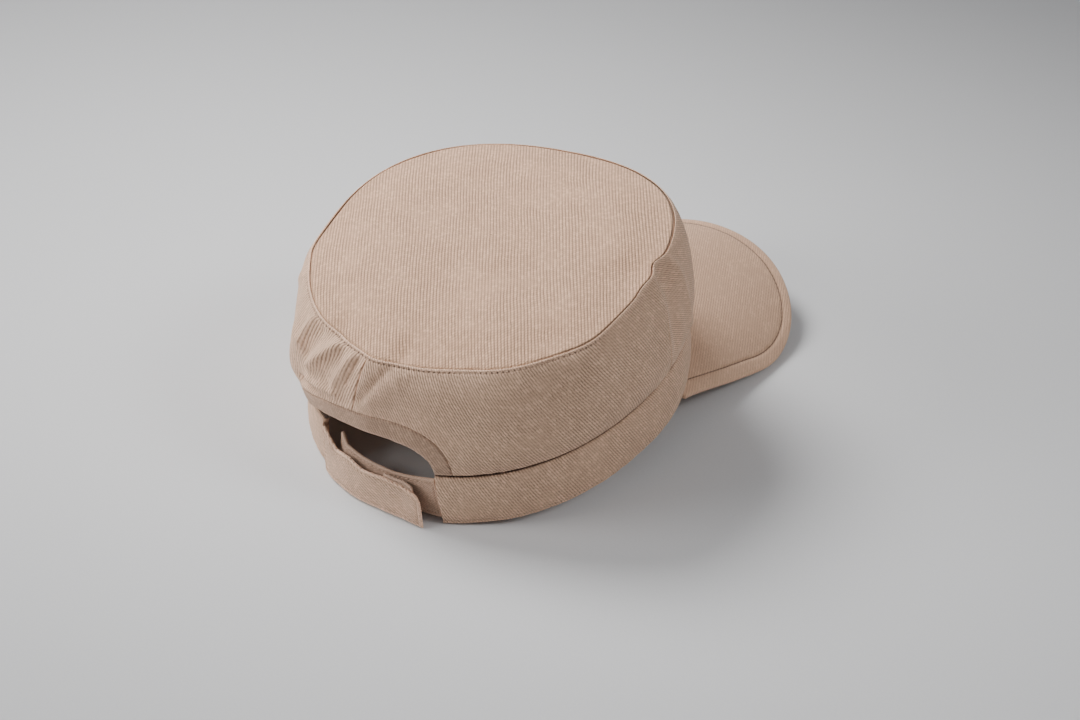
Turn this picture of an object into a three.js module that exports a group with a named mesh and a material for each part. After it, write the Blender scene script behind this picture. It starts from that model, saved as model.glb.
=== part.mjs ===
// Soft military cap with a curved peak, lying on a flat surface.
// Millimetres, +Z up. The peak points to -Y, the wearer's left is +X.
// Angles are in degrees, seen from above: 0 is the back, 90 the wearer's right, 180 the front.
import * as THREE from 'three';

// Cloth thicknesses
const PANEL_THICK = 2;
const BAND_THICK = 3;
const PEAK_THICK = 3;
const STRAP_THICK = 2;
const TAPE_THICK = 1.2;
const FACING_THICK = 2;
// Clearance between pieces that are sewn together
const SEAM_GAP = 0.3;

// Headband: outer outline at the bottom edge, and its height
const BAND_HALF_WIDTH = 89;
const BAND_HALF_LENGTH = 95;
const BAND_SQUARENESS = 2.12;
const BAND_HEIGHT_BACK = 25.5;
const BAND_HEIGHT_FRONT = 27.5;
const BAND_TAPER = 1.7;
const BAND_BULGE = 1;
// The front of the cap stands up off the surface on the arched peak
const FRONT_LIFT = 27.5;
const FLAT_REST_SHARE = 0.067;
// The band is open at the back, between two slanted ends
const OPENING_RIGHT_LOW = 30;
const OPENING_RIGHT_HIGH = 27.5;
const OPENING_LEFT_LOW = -12.5;
const OPENING_LEFT_HIGH = -18.5;

// Crown: the seam round the top, which slumps towards the rear
const TOP_HALF_WIDTH = 82.5;
const TOP_HALF_LENGTH = 83.6;
const TOP_SQUARENESS = 2.3;
const TOP_TURN = -18.4;
const TOP_SHIFT_X = 1.4;
const TOP_HEIGHT = 91;
const TOP_TILT = 12.6;
const TOP_TILT_TOWARDS = -4;
const TOP_TWIST = 3.6;
const TOP_DOME = 4;
// Crown: the side wall swells out between the top seam and the band
const WALL_SWELL = 5.2;
const WALL_FULLNESS = 3;
const BACK_SEAM = 2.5;
const FRONT_SEAM = 111;

// Arched opening above the straps, with its facing strip
const ARCH_MIDDLE = 4;
const ARCH_HALF_ANGLE = 23.5;
const ARCH_HEIGHT = 14;
const ARCH_ROUNDNESS = 2.4;
// The arch is taller towards the wearer's right
const ARCH_LEAN = 0.33;
const FACING_WIDTH = 11;
const FACING_TUCK = 2;
const FACING_CLEARANCE = 1.2;

// Peak: outline from above, and the heights of its upper face
const PEAK_CORNER_ANGLE = 122;
const PEAK_HALF_WIDTH = 77;
const PEAK_SIDE_END_Y = -105;
const PEAK_TIP_Y = -174;
const PEAK_ROUNDNESS = 2.1;
const PEAK_SKEW = -4;
const PEAK_SIDE_HEIGHT = 1.5;
const PEAK_TIP_HEIGHT = 24;
// The side edges climb from here to the corners at the band
const PEAK_CLIMB_Y = -128;
const PEAK_CLIMB_POWER = 1.5;
const PEAK_CROWN = 1.5;
const PEAK_TUCK = 1.5;

// Main folds of the side wall. Each runs from one angle and height above the band to another;
// a positive depth stands out and a negative one sinks in.
const FOLDS = [
  { fromAngle: -10, fromHeight: 51, toAngle: -16, toHeight: 30, width: 3.2, depth: -2.4 },
  { fromAngle: -5, fromHeight: 50, toAngle: -16, toHeight: 31, width: 2.6, depth: 2.6 },
  { fromAngle: 1, fromHeight: 49, toAngle: -5, toHeight: 36, width: 2.6, depth: 1.6 },
  { fromAngle: 13, fromHeight: 50, toAngle: 6, toHeight: 34, width: 2.6, depth: -1.8 },
  { fromAngle: 19, fromHeight: 50, toAngle: 10, toHeight: 33, width: 4, depth: 1.5 },
  { fromAngle: -30, fromHeight: 32, toAngle: -35, toHeight: 12, width: 8, depth: 2.2 },
  { fromAngle: -26, fromHeight: 13, toAngle: -15, toHeight: 18, width: 2.8, depth: -2 },
];
// Dent of the top seam where the front seam meets it
const SEAM_DENT_ANGLE = 113;
const SEAM_DENT_DEPTH = 3;
const SEAM_DENT_WIDTH = 4;
// Waves of the top seam: where, how wide in degrees, and how far out it stands
const SEAM_WAVES = [
  { angle: -52, width: 7, out: 1.2 },
  { angle: -10, width: 5, out: -1.2 },
  { angle: 7, width: 5, out: 1.8 },
  { angle: 35, width: 11, out: -2.3 },
  { angle: 74, width: 9, out: 2.6 },
  { angle: 101, width: 4, out: -1 },
];

// The straps' courses round the back. Columns: angle of the lower edge, how far the upper edge
// leans from it in degrees, how far the outer face stands off the band, and the edges' heights.
const TAB_COURSE = [
  { angle: -12.2, lean: -5, off: -0.6, low: 0.6, high: 22 },
  { angle: -7.5, lean: -1, off: 0.5, low: 0.6, high: 16 },
  { angle: -2, lean: 0, off: 1.4, low: 0.6, high: 17.8 },
  { angle: 4, lean: 0, off: 1.8, low: 0.6, high: 16 },
  { angle: 11, lean: 0, off: 1.4, low: 0.6, high: 16.8 },
  { angle: 18.5, lean: -0.5, off: 2.2, low: 0.6, high: 15.8 },
  { angle: 25.4, lean: -4, off: 5.6, low: 0.6, high: 13.5 },
];
const BASE_COURSE = [
  { angle: 29.7, lean: -2.5, off: -1.4, low: 2.5, high: 22.5 },
  { angle: 23, lean: -1, off: -2.8, low: 2.5, high: 20.5 },
  { angle: 14, lean: 0, off: -3.2, low: 2.5, high: 18.8 },
  { angle: 2, lean: 0, off: -3.2, low: 2.5, high: 18.8 },
  { angle: -6, lean: 0, off: -3.8, low: 2.5, high: 19.5 },
  { angle: -11, lean: 0, off: -6.5, low: 2.5, high: 22 },
];
const TAPE_COURSE = [
  { angle: 11, lean: 0, off: -0.95, low: 2.5, high: 17.8 },
  { angle: 18.5, lean: -0.4, off: -0.2, low: 2.5, high: 18.8 },
  { angle: 22.5, lean: -1.5, off: 1.7, low: 2.5, high: 18.4 },
];

// Numbers of steps in the meshes
const WALL_RISE_STEPS = 9;
const WALL_ARC_STEP = 3.6;
const BAND_ARC_STEP = 4;

const clamp = (value, low, high) => Math.min(high, Math.max(low, value));
const mix = (a, b, share) => a + (b - a) * share;
const radians = (degrees) => THREE.MathUtils.degToRad(degrees);

// 0 at the back, 1 at the front
function frontShare(angle) {
  return (1 - Math.cos(radians(angle))) / 2;
}

// A rounded oval round the middle of the head, with a point for each angle
function oval(angle, halfWidth, halfLength, squareness) {
  const side = Math.sin(radians(angle));
  const back = Math.cos(radians(angle));
  const sum = Math.abs(side / halfWidth) ** squareness + Math.abs(back / halfLength) ** squareness;
  return sum ** (-1 / squareness);
}

function polar(angle, radius, z) {
  return new THREE.Vector3(-radius * Math.sin(radians(angle)), radius * Math.cos(radians(angle)), z);
}

// A column's value between two rows of a course table
function courseValue(course, column, share) {
  const place = clamp(share, 0, 1) * (course.length - 1);
  const row = Math.min(Math.floor(place), course.length - 2);
  return mix(course[row][column], course[row + 1][column], place - row);
}

function bandRadius(angle) {
  return oval(angle, BAND_HALF_WIDTH, BAND_HALF_LENGTH, BAND_SQUARENESS);
}

function bandLowEdge(angle) {
  const raised = (frontShare(angle) - FLAT_REST_SHARE) / (1 - FLAT_REST_SHARE);
  return FRONT_LIFT * Math.max(0, raised);
}

function bandTopEdge(angle) {
  return bandLowEdge(angle) + mix(BAND_HEIGHT_BACK, BAND_HEIGHT_FRONT, frontShare(angle));
}

function topRadius(angle) {
  return oval(angle + TOP_TURN, TOP_HALF_WIDTH, TOP_HALF_LENGTH, TOP_SQUARENESS);
}

// An angle turned to lie between -180 and 180
function signedTurn(angle) {
  return angle > 180 ? angle - 360 : angle;
}

// How far the top seam waves out, and in at one front seam
function seamWave(angle) {
  const bell = (from, width) => Math.exp(-(((signedTurn(angle) - from) / width) ** 2));
  let out = -SEAM_DENT_DEPTH * bell(SEAM_DENT_ANGLE, SEAM_DENT_WIDTH);
  for (const wave of SEAM_WAVES) {
    out += wave.out * bell(wave.angle, wave.width);
  }
  return out;
}

// Height of the crown's top face, share 1 at the seam and 0 in the middle
function topHeight(angle, share) {
  const tilt = -TOP_TILT * share * Math.cos(radians(angle - TOP_TILT_TOWARDS));
  const twist = -TOP_TWIST * share ** 2 * Math.cos(radians(2 * (angle + TOP_TURN)));
  return TOP_HEIGHT + tilt + twist + TOP_DOME * (1 - share ** 2);
}

function topPoint(angle, share, inset, drop) {
  const radius = (topRadius(angle) - inset + seamWave(angle) * share ** 6) * share;
  const point = polar(angle, radius, topHeight(angle, share) - drop);
  point.x += TOP_SHIFT_X;
  return point;
}

// Sum of the folds at a place on the side wall
function foldDepth(angle, height) {
  let sum = 0;
  for (const fold of FOLDS) {
    const scale = radians(1) * BAND_HALF_LENGTH;
    const run = (fold.toAngle - fold.fromAngle) * scale;
    const rise = fold.toHeight - fold.fromHeight;
    const across = (angle - fold.fromAngle) * scale;
    const up = height - fold.fromHeight;
    const along = clamp((across * run + up * rise) / (run * run + rise * rise), 0, 1);
    const apart = Math.hypot(across - run * along, up - rise * along);
    sum += fold.depth * Math.exp(-((apart / fold.width) ** 2));
  }
  return sum;
}

// Side wall: share 0 at the band, 1 at the top seam
function wallPoint(angle, share, inset) {
  const low = polar(angle, bandRadius(angle) - BAND_TAPER - inset, bandTopEdge(angle) + SEAM_GAP);
  const high = topPoint(angle, 1, inset, PANEL_THICK + SEAM_GAP);
  const turn = signedTurn(angle);
  const fade = Math.sin(Math.PI * share);
  const swell = WALL_SWELL * (1 - Math.abs(2 * share - 1) ** WALL_FULLNESS);
  const out = swell + fade * foldDepth(turn, share * (high.z - low.z));
  const point = low.lerp(high, share);
  const flat = Math.hypot(point.x, point.y);
  point.x *= 1 + out / flat;
  point.y *= 1 + out / flat;
  return point;
}

// Height of an arch above the band, with its half angle and height
function archRise(angle, halfAngle, height) {
  const along = (angle - ARCH_MIDDLE) / halfAngle;
  const away = Math.abs(along);
  if (away >= 1) return 0;
  return height * (1 + ARCH_LEAN * along) * (1 - away ** ARCH_ROUNDNESS) ** (1 / ARCH_ROUNDNESS);
}

const degreesPerMillimetre = 1 / (radians(1) * BAND_HALF_LENGTH);
const facingHalfAngle = ARCH_HALF_ANGLE + FACING_WIDTH * degreesPerMillimetre;
const facingHeight = ARCH_HEIGHT + FACING_WIDTH;
const gapAngle = SEAM_GAP * degreesPerMillimetre;

// Triangles of a closed body, turned so that its faces point out
function closedMesh(name, points, faces, colour) {
  let volume = 0;
  const edge = new THREE.Vector3();
  for (const [a, b, c] of faces) {
    volume += points[a].dot(edge.crossVectors(points[b], points[c]));
  }
  const turned = volume < 0 ? faces.map(([a, b, c]) => [a, c, b]) : faces;
  const geometry = new THREE.BufferGeometry().setFromPoints(points);
  geometry.setIndex(turned.flat());
  geometry.computeVertexNormals();
  const material = new THREE.MeshStandardMaterial({ color: colour, roughness: 0.92, metalness: 0 });
  const mesh = new THREE.Mesh(geometry, material);
  mesh.name = name;
  return mesh;
}

// A sheet with thickness: face(side, across, up) gives its outer and inner points
function sheet(name, acrossSteps, upSteps, face, colour) {
  const points = [];
  const faces = [];
  const rows = upSteps + 1;
  const half = (acrossSteps + 1) * rows;
  for (const side of [0, 1]) {
    for (let i = 0; i <= acrossSteps; i += 1) {
      for (let j = 0; j <= upSteps; j += 1) {
        points.push(face(side, i / acrossSteps, j / upSteps));
      }
    }
  }
  const at = (side, i, j) => side * half + i * rows + j;
  const quad = (a, b, c, d) => faces.push([a, b, c], [a, c, d]);
  for (let i = 0; i < acrossSteps; i += 1) {
    for (let j = 0; j < upSteps; j += 1) {
      quad(at(0, i, j), at(0, i + 1, j), at(0, i + 1, j + 1), at(0, i, j + 1));
      quad(at(1, i, j), at(1, i, j + 1), at(1, i + 1, j + 1), at(1, i + 1, j));
    }
    quad(at(1, i, 0), at(1, i + 1, 0), at(0, i + 1, 0), at(0, i, 0));
    quad(at(0, i, upSteps), at(0, i + 1, upSteps), at(1, i + 1, upSteps), at(1, i, upSteps));
  }
  for (let j = 0; j < upSteps; j += 1) {
    quad(at(0, 0, j), at(0, 0, j + 1), at(1, 0, j + 1), at(1, 0, j));
    quad(at(1, acrossSteps, j), at(1, acrossSteps, j + 1), at(0, acrossSteps, j + 1), at(0, acrossSteps, j));
  }
  return closedMesh(name, points, faces, colour);
}

// Top panel: a domed oval disc
function topPanel() {
  const spokes = 60;
  const rings = [0.3, 0.55, 0.75, 0.9, 0.97, 1];
  const points = [topPoint(0, 0, 0, 0), topPoint(0, 0, 0, PANEL_THICK)];
  const faces = [];
  for (const side of [0, 1]) {
    for (const share of rings) {
      for (let i = 0; i < spokes; i += 1) {
        points.push(topPoint((i * 360) / spokes, share, 0, side * PANEL_THICK));
      }
    }
  }
  const at = (side, ring, i) => 2 + (side * rings.length + ring) * spokes + (i % spokes);
  const last = rings.length - 1;
  for (let i = 0; i < spokes; i += 1) {
    faces.push([0, at(0, 0, i), at(0, 0, i + 1)]);
    faces.push([1, at(1, 0, i + 1), at(1, 0, i)]);
    for (let ring = 0; ring < last; ring += 1) {
      faces.push([at(0, ring, i), at(0, ring + 1, i), at(0, ring + 1, i + 1)]);
      faces.push([at(0, ring, i), at(0, ring + 1, i + 1), at(0, ring, i + 1)]);
      faces.push([at(1, ring, i), at(1, ring + 1, i + 1), at(1, ring + 1, i)]);
      faces.push([at(1, ring, i), at(1, ring, i + 1), at(1, ring + 1, i + 1)]);
    }
    faces.push([at(0, last, i), at(1, last, i), at(1, last, i + 1)]);
    faces.push([at(0, last, i), at(1, last, i + 1), at(0, last, i + 1)]);
  }
  return closedMesh('top_panel', points, faces, 0xc9ad98);
}

// A panel of the side wall between two seams, cut away over the arched opening
function wallPanel(name, fromAngle, toAngle, colour) {
  const steps = Math.round((toAngle - fromAngle) / WALL_ARC_STEP);
  const face = (side, across, up) => {
    const angle = mix(fromAngle + gapAngle / 2, toAngle - gapAngle / 2, across);
    const turn = signedTurn(angle);
    const tuck = FACING_TUCK * degreesPerMillimetre;
    const wallHeight = topHeight(angle, 1) - bandTopEdge(angle);
    const cut = archRise(turn, facingHalfAngle - tuck, facingHeight - FACING_TUCK) / wallHeight;
    return wallPoint(angle, mix(cut, 1, up), side * PANEL_THICK);
  };
  return sheet(name, steps, WALL_RISE_STEPS, face, colour);
}

// Strip that faces the arched opening, tucked behind the edges of the side panels
function archFacing() {
  const face = (side, across, up) => {
    const sweep = Math.PI * across;
    const power = 2 / ARCH_ROUNDNESS;
    const along = Math.abs(Math.cos(sweep)) ** power * Math.sign(Math.cos(sweep));
    const rise = Math.abs(Math.sin(sweep)) ** power;
    const angle = ARCH_MIDDLE + mix(ARCH_HALF_ANGLE, facingHalfAngle, up) * along;
    const height = mix(ARCH_HEIGHT, facingHeight, up) * rise * (1 + ARCH_LEAN * along);
    const wallHeight = topHeight(angle, 1) - bandTopEdge(angle);
    return wallPoint(angle, height / wallHeight, PANEL_THICK + FACING_CLEARANCE + side * FACING_THICK);
  };
  return sheet('arch_facing', 36, 3, face, 0xa58c7a);
}

// Band round the head, open at the back
function headband() {
  const face = (side, across, up) => {
    const fromAngle = mix(OPENING_RIGHT_LOW, OPENING_RIGHT_HIGH, up);
    const toAngle = 360 + mix(OPENING_LEFT_LOW, OPENING_LEFT_HIGH, up);
    const angle = mix(fromAngle, toAngle, across);
    const out = BAND_BULGE * Math.sin(Math.PI * up) - BAND_TAPER * up - side * BAND_THICK;
    return polar(angle, bandRadius(angle) + out, mix(bandLowEdge(angle), bandTopEdge(angle), up));
  };
  const arc = 360 + OPENING_LEFT_LOW - OPENING_RIGHT_LOW;
  return sheet('headband', Math.round(arc / BAND_ARC_STEP), 4, face, 0x9d8676);
}

// Height of the peak's upper face along its outer edge
function peakEdgeHeight(x, y) {
  const arch = mix(PEAK_TIP_HEIGHT, PEAK_SIDE_HEIGHT, Math.min(1, Math.abs(x) / PEAK_HALF_WIDTH) ** 2);
  const corner = polar(PEAK_CORNER_ANGLE, bandRadius(PEAK_CORNER_ANGLE), 0);
  const climb = Math.max(0, (y - PEAK_CLIMB_Y) / (corner.y - PEAK_CLIMB_Y));
  return arch + (bandLowEdge(PEAK_CORNER_ANGLE) - SEAM_GAP - PEAK_SIDE_HEIGHT) * climb ** PEAK_CLIMB_POWER;
}

// Outer edge of one half of the peak, from its tip back to the band
function peakOutline(steps) {
  const fine = [];
  const corner = polar(PEAK_CORNER_ANGLE, bandRadius(PEAK_CORNER_ANGLE) + 1, 0);
  const power = 2 / PEAK_ROUNDNESS;
  const bendSteps = 40;
  for (let i = 0; i <= bendSteps; i += 1) {
    const sweep = (Math.PI / 2) * (i / bendSteps);
    const x = PEAK_HALF_WIDTH * Math.sin(sweep) ** power;
    const y = PEAK_SIDE_END_Y + (PEAK_TIP_Y - PEAK_SIDE_END_Y) * Math.cos(sweep) ** power;
    fine.push(new THREE.Vector3(x, y, 0));
  }
  const sideSteps = 12;
  for (let i = 1; i <= sideSteps; i += 1) {
    const share = i / sideSteps;
    const x = mix(PEAK_HALF_WIDTH, -corner.x, share ** 2);
    fine.push(new THREE.Vector3(x, mix(PEAK_SIDE_END_Y, corner.y, share), 0));
  }
  return new THREE.CatmullRomCurve3(fine).getSpacedPoints(steps);
}

// Peak: a stiff sheet, arched from side to side, sewn under the band's front edge
function peak() {
  const halfSteps = 16;
  const outline = peakOutline(halfSteps);
  const face = (side, across, up) => {
    const place = across * 2 * halfSteps - halfSteps;
    const edge = outline[Math.min(halfSteps, Math.round(Math.abs(place)))];
    const angle = 180 + ((PEAK_CORNER_ANGLE - 180) * place) / halfSteps;
    const inner = polar(angle, bandRadius(angle) - PEAK_TUCK, bandLowEdge(angle) - SEAM_GAP);
    const outer = new THREE.Vector3(Math.sign(place) * -edge.x, edge.y, 0);
    outer.z = peakEdgeHeight(outer.x, outer.y);
    outer.x += PEAK_SKEW * clamp((PEAK_SIDE_END_Y - outer.y) / (PEAK_SIDE_END_Y - PEAK_TIP_Y), 0, 1);
    const point = inner.lerp(outer, up);
    point.z += PEAK_CROWN * Math.sin(Math.PI * up) * (1 - (place / halfSteps) ** 2);
    point.z -= side * PEAK_THICK;
    return point;
  };
  return sheet('peak', 2 * halfSteps, 8, face, 0xb09785);
}

// A strap that follows a course table round the back
function strap(name, course, thick, colour) {
  const face = (side, across, up) => {
    const value = (column) => courseValue(course, column, across);
    const angle = value('angle') + value('lean') * up;
    const radius = bandRadius(angle) - BAND_TAPER * up + value('off') - side * thick;
    return polar(angle, radius, mix(value('low'), value('high'), up));
  };
  return sheet(name, 4 * (course.length - 1), 3, face, colour);
}

const cap = new THREE.Group();
cap.add(topPanel());
cap.add(wallPanel('side_panel_right', BACK_SEAM, FRONT_SEAM, 0xa58c7a));
cap.add(wallPanel('front_panel', FRONT_SEAM, 360 - FRONT_SEAM, 0xb09785));
cap.add(wallPanel('side_panel_left', 360 - FRONT_SEAM, 360 + BACK_SEAM, 0xb59c89));
cap.add(archFacing());
cap.add(headband());
cap.add(peak());
cap.add(strap('strap_tab', TAB_COURSE, STRAP_THICK, 0xb09785));
cap.add(strap('strap_base', BASE_COURSE, STRAP_THICK, 0x9d8676));
cap.add(strap('hook_tape', TAPE_COURSE, TAPE_THICK, 0x8f7a6b));

// The origin is on the surface, under the middle of the whole cap
const bounds = new THREE.Box3().setFromObject(cap);
const middle = bounds.getCenter(new THREE.Vector3());
cap.position.set(-middle.x, -middle.y, -bounds.min.z);

export default cap;
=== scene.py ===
import math

import bpy
import numpy as np
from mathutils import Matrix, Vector


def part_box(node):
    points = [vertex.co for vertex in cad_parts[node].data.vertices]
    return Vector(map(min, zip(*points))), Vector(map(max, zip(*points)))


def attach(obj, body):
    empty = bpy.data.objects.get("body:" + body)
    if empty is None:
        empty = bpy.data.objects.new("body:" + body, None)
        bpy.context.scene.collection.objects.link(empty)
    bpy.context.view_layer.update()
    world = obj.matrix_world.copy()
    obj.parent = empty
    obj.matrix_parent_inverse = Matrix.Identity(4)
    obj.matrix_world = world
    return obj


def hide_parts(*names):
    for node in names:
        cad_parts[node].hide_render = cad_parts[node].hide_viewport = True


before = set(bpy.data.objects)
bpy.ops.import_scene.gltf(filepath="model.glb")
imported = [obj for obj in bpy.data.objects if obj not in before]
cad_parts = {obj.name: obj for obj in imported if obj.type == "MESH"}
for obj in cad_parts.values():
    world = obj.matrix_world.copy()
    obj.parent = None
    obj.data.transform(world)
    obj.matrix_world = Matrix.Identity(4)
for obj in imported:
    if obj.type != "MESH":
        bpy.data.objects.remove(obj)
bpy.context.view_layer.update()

MM = 0.001


def table(columns, *rows):
    """Rows of a table, each a dictionary of its named columns."""
    names = columns.split()
    return [dict(zip(names, row)) for row in rows]


# Headband, as in the part's source
BAND_HALF_WIDTH = 89
BAND_HALF_LENGTH = 95
BAND_SQUARENESS = 2.12
BAND_HEIGHT_BACK = 25.5
BAND_HEIGHT_FRONT = 27.5
BAND_TAPER = 1.7
BAND_BULGE = 1
BAND_THICK = 3
FRONT_LIFT = 27.5
FLAT_REST_SHARE = 0.067
OPENING_RIGHT_LOW = 30
OPENING_RIGHT_HIGH = 27.5
OPENING_LEFT_LOW = -12.5
OPENING_LEFT_HIGH = -18.5
# The band's left end sinks behind the facing
LEFT_END_SINK = 3.2
LEFT_END_SINK_OVER = (294, 322)
LEFT_END_DROP = 2
LEFT_END_DROP_OVER = (321, 336)
# How far the band's outer face passes the half length at the front
BAND_FRONT_REACH = 0.28

# Crown, as in the part's source
TOP_HALF_WIDTH = 82.5
TOP_HALF_LENGTH = 83.6
TOP_SQUARENESS = 2.3
TOP_TURN = -18.4
TOP_SHIFT_X = 1.4
TOP_HEIGHT = 91
TOP_TILT = 12.6
TOP_TILT_TOWARDS = -4
TOP_TWIST = 3.6
TOP_DOME = 4
WALL_SWELL = 5.2
WALL_FULLNESS = 3
SEAM_DENT_ANGLE = 113
SEAM_DENT_DEPTH = 3
SEAM_DENT_WIDTH = 4
# Waves of the top seam: where, how wide in degrees, and how far out it stands
SEAM_WAVES = table(
    "angle width out",
    (-52, 7, 1.2),
    (-10, 5, -1.2),
    (7, 5, 1.8),
    (35, 11, -2.3),
    (74, 9, 2.6),
    (101, 4, -1),
)
PANEL_THICK = 2
SEAM_GAP = 0.3
SEAM_ROUNDING = 0.45
# Strength of the shaded line where the wall meets the band
LOW_SEAM_SHADE = 3.6
# The folds stand a little prouder in the cloth than in the plain shape
FOLD_DEEPER = 1.2
# The panels' seams bow a little between the band and the top
BACK_SEAM_LOW = 2.2
BACK_SEAM_HIGH = 4.6
FRONT_SEAM = 111
FRONT_SEAM_BOW = 3.5
# The wall's thinned upper edge rolls over the seam and the top panel starts inside it
ROLL_THICK = 0.9
ROLL_THICK_FRONT = 0.5
ROLL_WIDTH = 0.45
TOP_EDGE_ROUNDING = 1.3
# How much fuller the top is inside its seam
TOP_PILLOW = 2.4
# The shaded line beside the roll, from the top panel's edge
SEAM_LINE_INSIDE = 0.8
# Angles over which something on the wall or the top fades in or out
ROLL_THINS = (60, 85)
TOP_LINE_DARKER_RIGHT = (48, 72)
TOP_LINE_DARKER_LEFT = (-18, -40)
LIVELY_FROM = (-75, -45)
LIVELY_UNTIL = (34, 10)
SEWN_FROM = (-48, -30)
SEWN_UNTIL = (95, 60)
FINER_FROM = (-20, -32)
STITCHES_SHOWN = (-40, 72)
# Slant of the ribs from the run of the cloth
RIBS_RIGHT = -57
RIBS_FRONT = -34
RIBS_LEFT = 70
RIBS_STRAP = -32
TOP_RIBS_ALONG = (0.695, -0.719)
TOP_RIBS_ACROSS = (-0.719, -0.695)
PEAK_RIBS_ALONG = (0.577, -0.816)

# Arched opening and its facing strip
ARCH_MIDDLE = 4
ARCH_HALF_ANGLE = 23.5
ARCH_HEIGHT = 14
ARCH_ROUNDNESS = 2.4
ARCH_LEAN = 0.33
# On the wearer's left the arch runs on further and lies lower
ARCH_LEFT_STRETCH = 1.18
ARCH_LEFT_LEAN = 0.42
FACING_WIDTH = 11
FACING_TUCK = 2
FACING_THICK = 2
FACING_INSET = 1.1
FACING_FLUSH = 0.15
FACING_EDGE_THICK = 0.8

# Peak, as in the part's source
PEAK_THICK = 3
PEAK_CORNER_ANGLE = 122
PEAK_HALF_WIDTH = 77
PEAK_SIDE_END_Y = -105
PEAK_TIP_Y = -174
PEAK_ROUNDNESS = 2.1
PEAK_SKEW = -4
PEAK_SIDE_HEIGHT = 1.5
PEAK_TIP_HEIGHT = 24
PEAK_CLIMB_Y = -128
PEAK_CLIMB_POWER = 1.5
PEAK_CROWN = 1.5
PEAK_TUCK = 1.5
# The stitched rim is wider on the wearer's right
PEAK_RIM = 5.7
PEAK_RIM_RIGHT = 8

# Straps: lower edge's angle, lean of the upper edge, stand-off, and heights of the two edges
TAB_THICK = 2
TAPE_THICK = 1.2
TAB_COURSE = table(
    "angle lean off low high",
    (-12.2, -5, -0.6, 0.6, 22),
    (-7.5, -1, 0.5, 0.6, 16),
    (-2, 0, 1.4, 0.6, 17.8),
    (4, 0, 1.8, 0.6, 16),
    (11, 0, 1.4, 0.6, 16.8),
    (18.5, -0.5, 2.2, 0.6, 15.8),
    (25.4, -1.6, 5.6, 0.6, 15),
)
BASE_COURSE = table(
    "angle lean off low high",
    (29.7, -2.5, -1.4, 2.5, 22.5),
    (23, -1, -2.8, 2.5, 20.5),
    (14, 0, -3.2, 2.5, 18.8),
    (2, 0, -3.2, 2.5, 18.8),
    (-6, 0, -3.8, 2.5, 19.5),
    (-11, 0, -6.5, 2.5, 22),
)
TAPE_COURSE = table(
    "angle lean off low high",
    (11, 0, -0.95, 2.5, 18.2),
    (18.5, -0.4, -0.2, 2.5, 18.2),
    (22.5, -1.5, 1.7, 2.5, 17.6),
)
# How far the tab's lower edge stands out more than its middle
TAB_FLARE = 0.8
# Radius of the straps' upper free corners
TAB_CORNER = 5
TAPE_CORNER = 2
BASE_CORNER = 1.5

# Folds of the side wall, each from one angle and height above the band to another.
# A positive depth stands out and a negative one sinks in.
FOLDS = table(
    "from_angle from_height to_angle to_height width depth",
    (-14, 54, -22, 32, 5, -1.6),
    (-6, 50, -19, 29, 3.1, 2.3),
    (0, 49, -6, 30, 2.8, 1.2),
    (2.5, 50, -1, 34, 1.5, -0.8),
    (14, 52, 5, 30, 2.0, -0.9),
    (20, 52, 9, 30, 4.5, 0.7),
    (-30, 32, -35, 12, 8, 2.2),
    (-26, 13, -15, 18, 2.6, -2),
    (-20, 20, -6, 25, 2.6, 1.3),
    (-47, 44, -39, 55, 3, 0.8),
    (-22, 50, -26, 34, 2.2, 1),
    (110, 50, 113, 14, 4, -0.9),
    (119, 49, 124, 12, 3.5, 1.3),
    (70, 50, 92, 12, 12, 0.8),
)
# Soft dents of the top panel: where, how far inside the seam, how wide and how deep
DENTS = table(
    "angle inside width depth",
    (15, 4, 4.5, 1),
    (-12, 5, 5, 0.7),
    (108, 9, 9, 1.3),
    (96, 15, 12, 0.8),
)

# Sewing
STITCH_PITCH = 2.5
SEAM_STITCH_BELOW = 1.25
ARCH_STITCH_ABOVE = 1.3
BAND_STITCH_ABOVE = 1.9
STRAP_STITCH_INSIDE = 1.8
# Rows of stitches: step, share of it that thread covers, radius, depth in the cloth
STITCH_ROWS = {
    "arch": {"pitch": 2.4, "share": 0.5, "radius": 0.16, "sink": 0.14},
    "seam": {"pitch": 2.7, "share": 0.5, "radius": 0.19, "sink": 0.1},
    "band": {"pitch": STITCH_PITCH, "share": 0.72, "radius": 0.19, "sink": 0.05},
    "peak": {"pitch": 2.8, "share": 0.8, "radius": 0.13, "sink": 0.2},
    "strap": {"pitch": 2.3, "share": 0.72, "radius": 0.19, "sink": 0.05},
}
THREAD_SIDES = 6
THREAD_RINGS = 6
THREAD_RISE = 1.3
THREAD_END_SWELL = 0.12

# Mesh steps, and the usual sizes that they divide
CLOTH_STEP = 0.9
TOP_STEP = 1.2
TOP_ANGLE_STEP = 0.9
PEAK_STEP = 1.1
PEAK_HALF_COUNT = 120
TOP_MIDDLE_RADIUS = 80
WALL_HEIGHT = 54
FACING_SWEEP = 130
STRAP_WIDTH = 18
PEAK_DEPTH = 78
FAR_AWAY = 99.0
NOISE_CELLS = 97

# Camera: bearing, height and distance from its target, in head coordinates
CAMERA_AZIMUTH = 224.07
CAMERA_ELEVATION = 34.93
CAMERA_DISTANCE = 1161
CAMERA_TARGET = (-12.7, -17.5, 24.5)
CAMERA_LENS = 80
CAMERA_SENSOR = 36

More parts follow.
